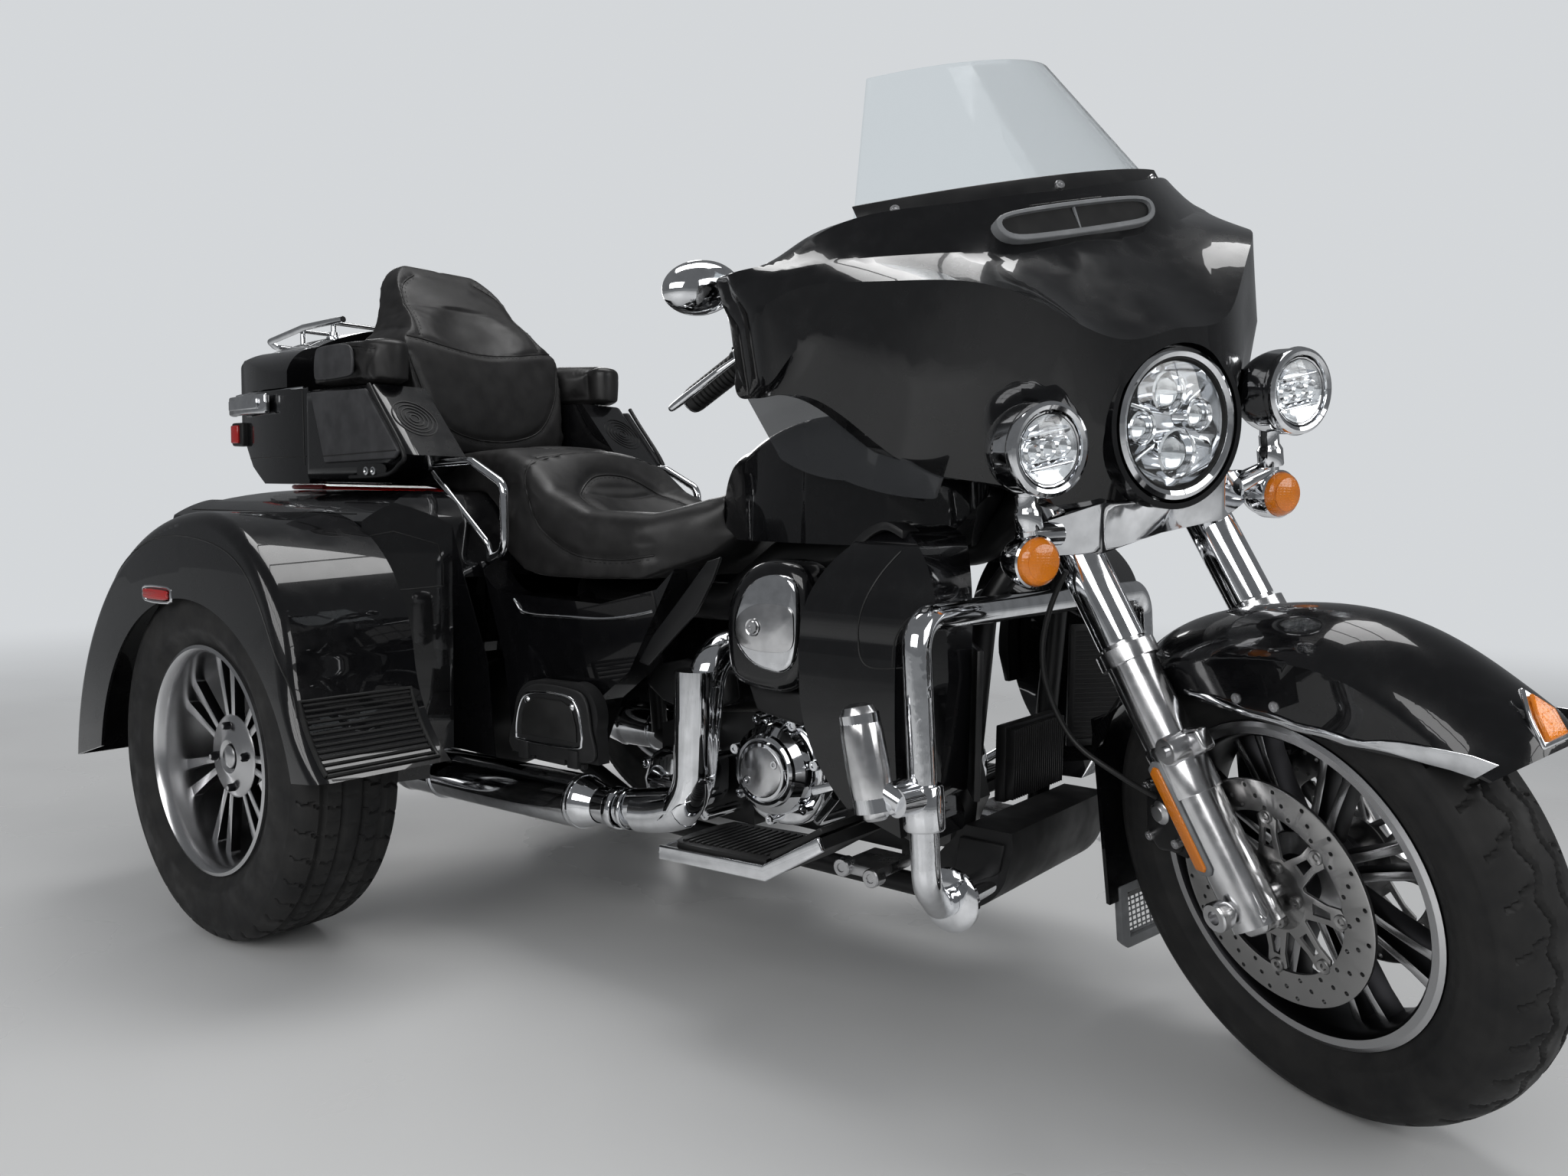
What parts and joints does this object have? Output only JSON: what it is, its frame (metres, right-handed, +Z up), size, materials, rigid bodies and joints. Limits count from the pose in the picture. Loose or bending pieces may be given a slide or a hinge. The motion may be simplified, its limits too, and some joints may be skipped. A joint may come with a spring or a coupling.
{
  "type": "three-wheeled touring motorcycle",
  "caption": "Touring trike with a steered front end, batwing fairing, wide rear fenders, open V engine, padded seats, luggage box and rear trunk.",
  "frame": {"origin": "centre of the overall box, on the ground", "axes": "+X forward, +Y to the rider's left, +Z up"},
  "size_m": [2.6687, 1.39, 1.4838],
  "materials": {
    "black_paint": "gloss black paint under clear coat",
    "satin_black": "satin black powder coat",
    "chrome": "polished chrome",
    "polished_aluminium": "polished cast aluminium",
    "machined_wheel": "black wheel with machined faces",
    "tire": "rubber with moulded tread",
    "seat_leather": "grained black vinyl with stitched seams",
    "shield_glass": "clear polycarbonate",
    "smoked_glass": "smoked polycarbonate",
    "lamp_glass": "clear lens over a chrome reflector",
    "black_plastic": "textured black plastic",
    "line_rubber": "satin black hose"
  },
  "bodies": {
    "trike": {"frame": "satin_black", "lower_cover": "black_plastic", "engine_case": "satin_black", "cylinder_front": "satin_black", "cylinder_rear": "satin_black", "air_cleaner": "chrome", "cam_cover": "chrome", "exhaust_right": "chrome", "exhaust_left": "chrome", "fuel_tank": "black_paint", "side_cover_right": "black_paint", "side_cover_left": "black_paint", "seat": "seat_leather", "backrest": "seat_leather", "armrest_right": "seat_leather", "armrest_left": "seat_leather", "luggage_box": "black_paint", "rear_body": "black_paint", "fender_right": "black_paint", "fender_left": "black_paint", "rail_right": "chrome", "rail_left": "chrome", "lower_fairing_right": "black_paint", "lower_fairing_left": "black_paint", "engine_guard": "chrome", "footboard_right": "black_plastic", "footboard_left": "black_plastic", "passenger_board_right": "black_plastic", "passenger_board_left": "black_plastic", "rear_axle": "satin_black"},
    "steering": {"fork": "polished_aluminium", "front_fender": "black_paint", "fairing": "black_paint", "instrument_panel": "black_plastic", "windshield": "shield_glass", "headlight": "lamp_glass", "lamp_bar": "lamp_glass", "handlebar": "chrome", "mirror_right": "chrome", "mirror_left": "chrome", "wind_deflector_right": "smoked_glass", "wind_deflector_left": "smoked_glass", "caliper_right": "satin_black", "caliper_left": "satin_black", "brake_line": "line_rubber"},
    "front_wheel_body": {"front_wheel": "machined_wheel", "front_tire": "tire"},
    "rear_wheel_right_body": {"rear_wheel_right": "machined_wheel", "rear_tire_right": "tire"},
    "rear_wheel_left_body": {"rear_wheel_left": "machined_wheel", "rear_tire_left": "tire"},
    "luggage_lid_body": {"luggage_lid": "black_paint", "luggage_rack": "chrome"},
    "trunk_door_body": {"trunk_door": "black_paint"}
  },
  "joints": [
    {"name": "steering", "type": "hinge", "parent": "trike", "child": "steering", "pos_m": [1.1415, 0, 0], "axis": [-0.4384, 0, 0.8988], "range_deg": [0, 58.68]},
    {"name": "front_wheel_spin", "type": "hinge", "parent": "steering", "child": "front_wheel_body", "pos_m": [1.03674, -0.02449, 0.31419], "axis": [0.4404, 0.8717, 0.2148], "continuous": true},
    {"name": "rear_wheel_right_spin", "type": "hinge", "parent": "trike", "child": "rear_wheel_right_body", "pos_m": [-0.6275, -0.58, 0.322], "axis": [0, 1, 0], "continuous": true},
    {"name": "rear_wheel_left_spin", "type": "hinge", "parent": "trike", "child": "rear_wheel_left_body", "pos_m": [-0.6275, 0.58, 0.322], "axis": [0, 1, 0], "continuous": true},
    {"name": "luggage_lid_hinge", "type": "hinge", "parent": "trike", "child": "luggage_lid_body", "pos_m": [-1.0775, 0.336, 1.012], "axis": [-1, 0, 0], "range_deg": [0, 75]},
    {"name": "trunk_door_hinge", "type": "hinge", "parent": "trike", "child": "trunk_door_body", "pos_m": [-1.2315, 0, 0.438], "axis": [0, -1, 0], "range_deg": [0, 80]}
  ]
}
